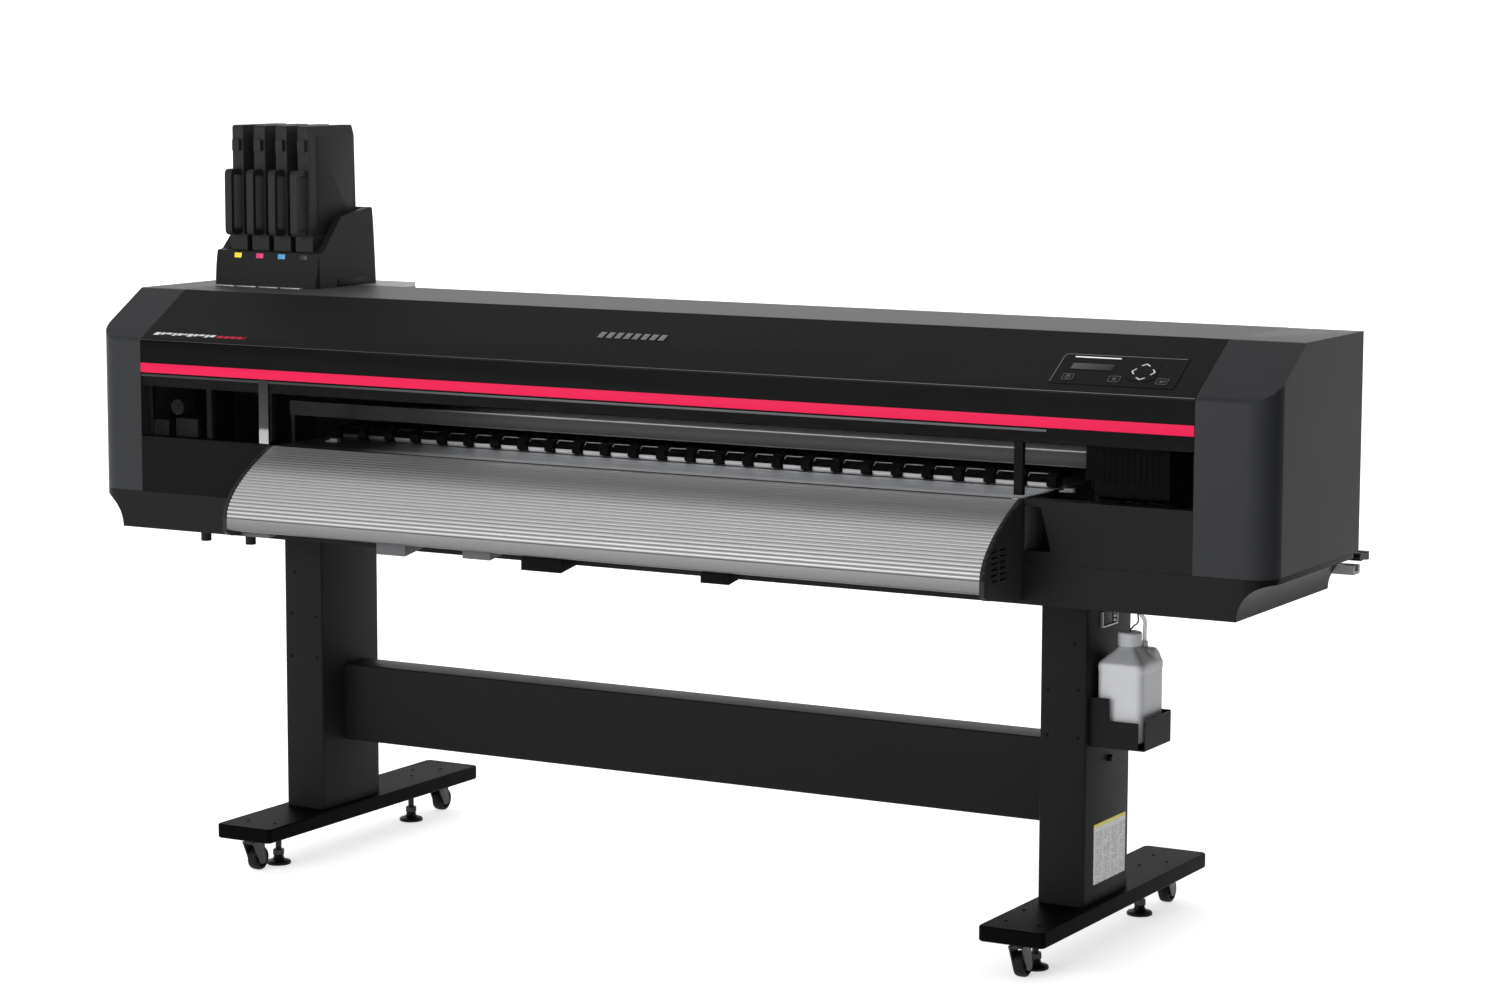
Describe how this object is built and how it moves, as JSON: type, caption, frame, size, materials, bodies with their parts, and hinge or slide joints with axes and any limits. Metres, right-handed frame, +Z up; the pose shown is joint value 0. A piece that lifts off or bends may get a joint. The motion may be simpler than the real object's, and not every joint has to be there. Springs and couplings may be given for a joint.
{
  "type": "printer cutter",
  "caption": "Wide-format inkjet printer cutter on a two-legged stand with casters, front cover, apron, ink dock and waste bottle.",
  "frame": {"origin": "middle of the footprint box, on the floor", "axes": "+X to the right along the print width seen from the front, +Y to the back, +Z up"},
  "size_m": [2.665, 0.866, 1.543],
  "materials": {
    "body_black": "fine-textured black moulded plastic",
    "cap_grey": "satin dark grey moulded plastic",
    "top_grey": "ribbed grey paint",
    "inner_black": "matte black",
    "stand_black": "black powder coat",
    "silver": "satin anodised",
    "steel": "bright machined",
    "light_grey": "plain light grey",
    "smoke_window": "clear smoked acrylic",
    "rubber": "matte",
    "bottle_white": "translucent blow-moulded",
    "hose_clear": "clear flexible tube",
    "accent_pink": "pink-red inlay strip",
    "print_white": "white printed marks",
    "ink_yellow": "yellow label",
    "ink_magenta": "magenta label",
    "ink_cyan": "cyan label"
  },
  "bodies": {
    "root": {"base_tray": "body_black", "lower_left_panel": "body_black", "lower_right_panel": "body_black", "rear_panel": "body_black", "apron_end_left": "body_black", "apron_end_right": "body_black", "ink_dock": "body_black", "left_end_cap": "cap_grey", "right_end_cap": "cap_grey", "top_panel": "top_grey", "pinch_beam": "inner_black", "left_foot_beam": "stand_black", "right_foot_beam": "stand_black", "left_leg": "stand_black", "right_leg": "stand_black", "cross_beam": "stand_black", "bottle_bracket": "stand_black", "apron": "silver", "rail_beam": "steel", "platen": "light_grey", "roll_rail": "light_grey", "drive_belt": "rubber", "sensor_cable": "rubber", "waste_bottle": "bottle_white", "drain_hose": "hose_clear"},
    "front_cover": {"front_cover": "body_black", "cover_window": "smoke_window", "control_panel": "inner_black"},
    "key_power": {"key_power": "cap_grey"},
    "key_cancel": {"key_cancel": "cap_grey"},
    "key_enter": {"key_enter": "cap_grey"},
    "arrow_pad": {"arrow_pad": "inner_black"},
    "carriage": {"carriage": "inner_black"},
    "cutter_holder": {"cutter_holder": "silver"},
    "drive_pulley": {"drive_pulley": "steel"},
    "idler_pulley": {"idler_pulley": "steel"},
    "feed_roller": {"feed_roller": "steel"},
    "pinch_rollers": {"pinch_rollers": "rubber"},
    "pinch_arm_bar": {"pinch_arm_bar": "inner_black"},
    "load_lever": {"load_lever": "inner_black"},
    "capping_station": {"capping_station": "light_grey"},
    "bottle_cap": {"bottle_cap": "bottle_white"},
    "roll_holder_left": {"roll_holder_left": "inner_black"},
    "roll_holder_right": {"roll_holder_right": "inner_black"},
    "ink_cartridge_yellow": {"ink_cartridge_yellow": "body_black"},
    "ink_cartridge_magenta": {"ink_cartridge_magenta": "body_black"},
    "ink_cartridge_cyan": {"ink_cartridge_cyan": "body_black"},
    "ink_cartridge_black": {"ink_cartridge_black": "body_black"},
    "caster_fork_front_left": {"caster_fork_front_left": "light_grey"},
    "caster_wheel_front_left": {"caster_wheel_front_left": "rubber"},
    "levelling_foot_front_left": {"levelling_foot_front_left": "rubber"},
    "caster_fork_front_right": {"caster_fork_front_right": "light_grey"},
    "caster_wheel_front_right": {"caster_wheel_front_right": "rubber"},
    "levelling_foot_front_right": {"levelling_foot_front_right": "rubber"},
    "caster_fork_rear_left": {"caster_fork_rear_left": "light_grey"},
    "caster_wheel_rear_left": {"caster_wheel_rear_left": "rubber"},
    "levelling_foot_rear_left": {"levelling_foot_rear_left": "rubber"},
    "caster_fork_rear_right": {"caster_fork_rear_right": "light_grey"},
    "caster_wheel_rear_right": {"caster_wheel_rear_right": "rubber"},
    "levelling_foot_rear_right": {"levelling_foot_rear_right": "rubber"}
  },
  "joints": [
    {"name": "cover_hinge", "type": "hinge", "parent": "root", "child": "front_cover", "pos_m": [-0.0165, -0.111, 1.196], "axis": [-1, 0, 0], "range_deg": [0, 70]},
    {"name": "key_power_press", "type": "slide", "parent": "front_cover", "child": "key_power", "axis": [0, 0.5193, -0.8546], "range_m": [0, 0.0008], "stiffness_N_per_m": 600},
    {"name": "key_cancel_press", "type": "slide", "parent": "front_cover", "child": "key_cancel", "axis": [0, 0.5193, -0.8546], "range_m": [0, 0.0008], "stiffness_N_per_m": 600},
    {"name": "key_enter_press", "type": "slide", "parent": "front_cover", "child": "key_enter", "axis": [0, 0.5193, -0.8546], "range_m": [0, 0.0008], "stiffness_N_per_m": 600},
    {"name": "arrow_pad_press", "type": "slide", "parent": "front_cover", "child": "arrow_pad", "axis": [0, 0.5193, -0.8546], "range_m": [0, 0.0008], "stiffness_N_per_m": 900},
    {"name": "carriage_travel", "type": "slide", "parent": "root", "child": "carriage", "axis": [-1, 0, 0], "range_m": [0, 2]},
    {"name": "cutter_drop", "type": "slide", "parent": "carriage", "child": "cutter_holder", "axis": [0, 0, -1], "range_m": [0, 0.01], "stiffness_N_per_m": 400, "springref_m": -0.015},
    {"name": "drive_pulley_spin", "type": "hinge", "parent": "root", "child": "drive_pulley", "pos_m": [1.1455, -0.015, 1.098], "axis": [0, 0, 1], "continuous": true},
    {"name": "idler_pulley_spin", "type": "hinge", "parent": "root", "child": "idler_pulley", "pos_m": [-1.1785, -0.015, 1.098], "axis": [0, 0, 1], "continuous": true},
    {"name": "feed_roller_spin", "type": "hinge", "parent": "root", "child": "feed_roller", "pos_m": [-0.0165, -0.099, 0.8839], "axis": [1, 0, 0], "continuous": true},
    {"name": "pinch_lift", "type": "hinge", "parent": "root", "child": "pinch_arm_bar", "pos_m": [0.0035, -0.044, 0.922], "axis": [-1, 0, 0], "range_deg": [0, 6]},
    {"name": "pinch_roller_spin", "type": "hinge", "parent": "pinch_arm_bar", "child": "pinch_rollers", "pos_m": [0.0035, -0.099, 0.9042], "axis": [1, 0, 0], "continuous": true},
    {"name": "load_lever_turn", "type": "hinge", "parent": "root", "child": "load_lever", "pos_m": [1.3055, 0.215, 0.762], "axis": [1, 0, 0], "range_deg": [0, 40]},
    {"name": "capping_lift", "type": "slide", "parent": "root", "child": "capping_station", "axis": [0, 0, 1], "range_m": [0, 0.004]},
    {"name": "bottle_cap_turn", "type": "hinge", "parent": "root", "child": "bottle_cap", "pos_m": [0.9675, -0.051, 0.606], "axis": [0, 0, 1], "continuous": true},
    {"name": "roll_holder_left_slide", "type": "slide", "parent": "root", "child": "roll_holder_left", "axis": [1, 0, 0], "range_m": [0, 0.6]},
    {"name": "roll_holder_right_slide", "type": "slide", "parent": "root", "child": "roll_holder_right", "axis": [-1, 0, 0], "range_m": [0, 0.6]},
    {"name": "ink_cartridge_yellow_pull", "type": "slide", "parent": "root", "child": "ink_cartridge_yellow", "axis": [0, 0, 1], "range_m": [0, 0.16]},
    {"name": "ink_cartridge_magenta_pull", "type": "slide", "parent": "root", "child": "ink_cartridge_magenta", "axis": [0, 0, 1], "range_m": [0, 0.16]},
    {"name": "ink_cartridge_cyan_pull", "type": "slide", "parent": "root", "child": "ink_cartridge_cyan", "axis": [0, 0, 1], "range_m": [0, 0.16]},
    {"name": "ink_cartridge_black_pull", "type": "slide", "parent": "root", "child": "ink_cartridge_black", "axis": [0, 0, 1], "range_m": [0, 0.16]},
    {"name": "caster_swivel_front_left", "type": "hinge", "parent": "root", "child": "caster_fork_front_left", "pos_m": [-0.9015, -0.317, 0.066], "axis": [0, 0, 1], "continuous": true},
    {"name": "caster_roll_front_left", "type": "hinge", "parent": "caster_fork_front_left", "child": "caster_wheel_front_left", "pos_m": [-0.9015, -0.299, 0.025], "axis": [1, 0, 0], "continuous": true},
    {"name": "levelling_front_left", "type": "slide", "parent": "root", "child": "levelling_foot_front_left", "axis": [0, 0, 1], "range_m": [0, 0.01]},
    {"name": "caster_swivel_front_right", "type": "hinge", "parent": "root", "child": "caster_fork_front_right", "pos_m": [0.8685, -0.317, 0.066], "axis": [0, 0, 1], "continuous": true},
    {"name": "caster_roll_front_right", "type": "hinge", "parent": "caster_fork_front_right", "child": "caster_wheel_front_right", "pos_m": [0.8685, -0.299, 0.025], "axis": [1, 0, 0], "continuous": true},
    {"name": "levelling_front_right", "type": "slide", "parent": "root", "child": "levelling_foot_front_right", "axis": [0, 0, 1], "range_m": [0, 0.01]},
    {"name": "caster_swivel_rear_left", "type": "hinge", "parent": "root", "child": "caster_fork_rear_left", "pos_m": [-0.9015, 0.37, 0.066], "axis": [0, 0, 1], "continuous": true},
    {"name": "caster_roll_rear_left", "type": "hinge", "parent": "caster_fork_rear_left", "child": "caster_wheel_rear_left", "pos_m": [-0.9015, 0.388, 0.025], "axis": [1, 0, 0], "continuous": true},
    {"name": "levelling_rear_left", "type": "slide", "parent": "root", "child": "levelling_foot_rear_left", "axis": [0, 0, 1], "range_m": [0, 0.01]},
    {"name": "caster_swivel_rear_right", "type": "hinge", "parent": "root", "child": "caster_fork_rear_right", "pos_m": [0.8685, 0.37, 0.066], "axis": [0, 0, 1], "continuous": true},
    {"name": "caster_roll_rear_right", "type": "hinge", "parent": "caster_fork_rear_right", "child": "caster_wheel_rear_right", "pos_m": [0.8685, 0.388, 0.025], "axis": [1, 0, 0], "continuous": true},
    {"name": "levelling_rear_right", "type": "slide", "parent": "root", "child": "levelling_foot_rear_right", "axis": [0, 0, 1], "range_m": [0, 0.01]}
  ],
  "couplings": [
    {"joint": "drive_pulley_spin", "follows": "carriage_travel", "rad_per_m": -66.667},
    {"joint": "idler_pulley_spin", "follows": "carriage_travel", "rad_per_m": -66.667},
    {"joint": "pinch_roller_spin", "follows": "feed_roller_spin", "ratio": -1.5},
    {"joint": "pinch_lift", "follows": "load_lever_turn", "ratio": 0.15}
  ]
}
